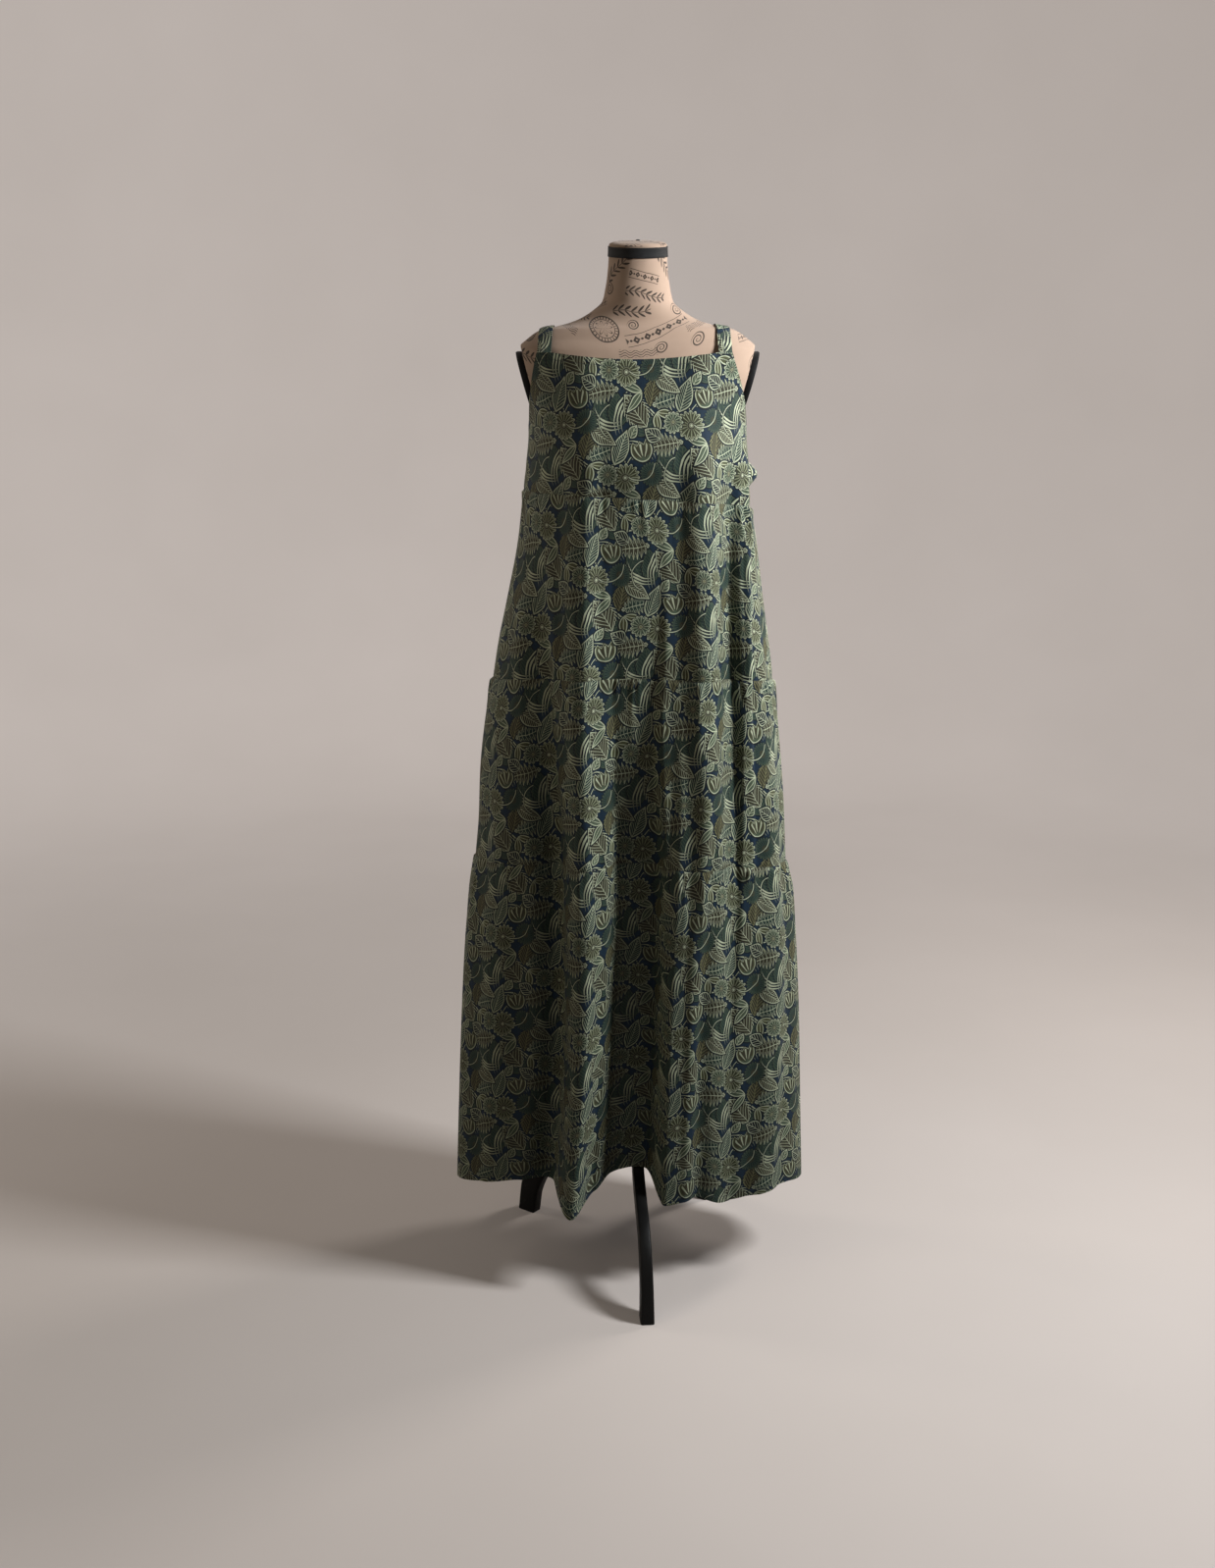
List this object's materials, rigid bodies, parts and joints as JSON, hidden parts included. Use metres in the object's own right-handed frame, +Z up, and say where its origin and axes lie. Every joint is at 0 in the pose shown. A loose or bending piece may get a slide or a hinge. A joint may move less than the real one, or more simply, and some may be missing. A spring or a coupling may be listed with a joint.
{
  "type": "tiered maxi dress on dress form with stand",
  "caption": "Sleeveless maxi dress with square neck, flat straps and gathered tiers, worn by a limbless dress form on a three-legged stand.",
  "frame": {"origin": "centre of the whole object's footprint box on the floor, at the undersides of the three feet", "axes": "+Z up along the pole, the dress's front faces -Y, +X to the right as seen from the front"},
  "size_m": [0.5916, 0.4688, 1.6783],
  "materials": {
    "dress_cloth": "matte light woven cloth, navy with olive and green flowers",
    "form_cover": "matte cream cover with a dark brown line pattern",
    "black_tape": "dull black ribbon and tape",
    "black_paint": "satin black paint"
  },
  "bodies": {
    "root": {"bodice_front": "dress_cloth", "bodice_back": "dress_cloth", "strap_left": "dress_cloth", "strap_right": "dress_cloth", "tier_1_front": "dress_cloth", "tier_1_back": "dress_cloth", "tier_2_front": "dress_cloth", "tier_2_back": "dress_cloth", "tier_3_front": "dress_cloth", "tier_3_back": "dress_cloth", "form_torso": "form_cover", "neck_cap": "form_cover", "arm_plate_left": "black_tape", "arm_plate_right": "black_tape", "neck_band": "black_tape", "pole": "black_paint", "hub": "black_paint", "leg_front": "black_paint", "leg_left": "black_paint", "leg_back": "black_paint"}
  },
  "joints": []
}
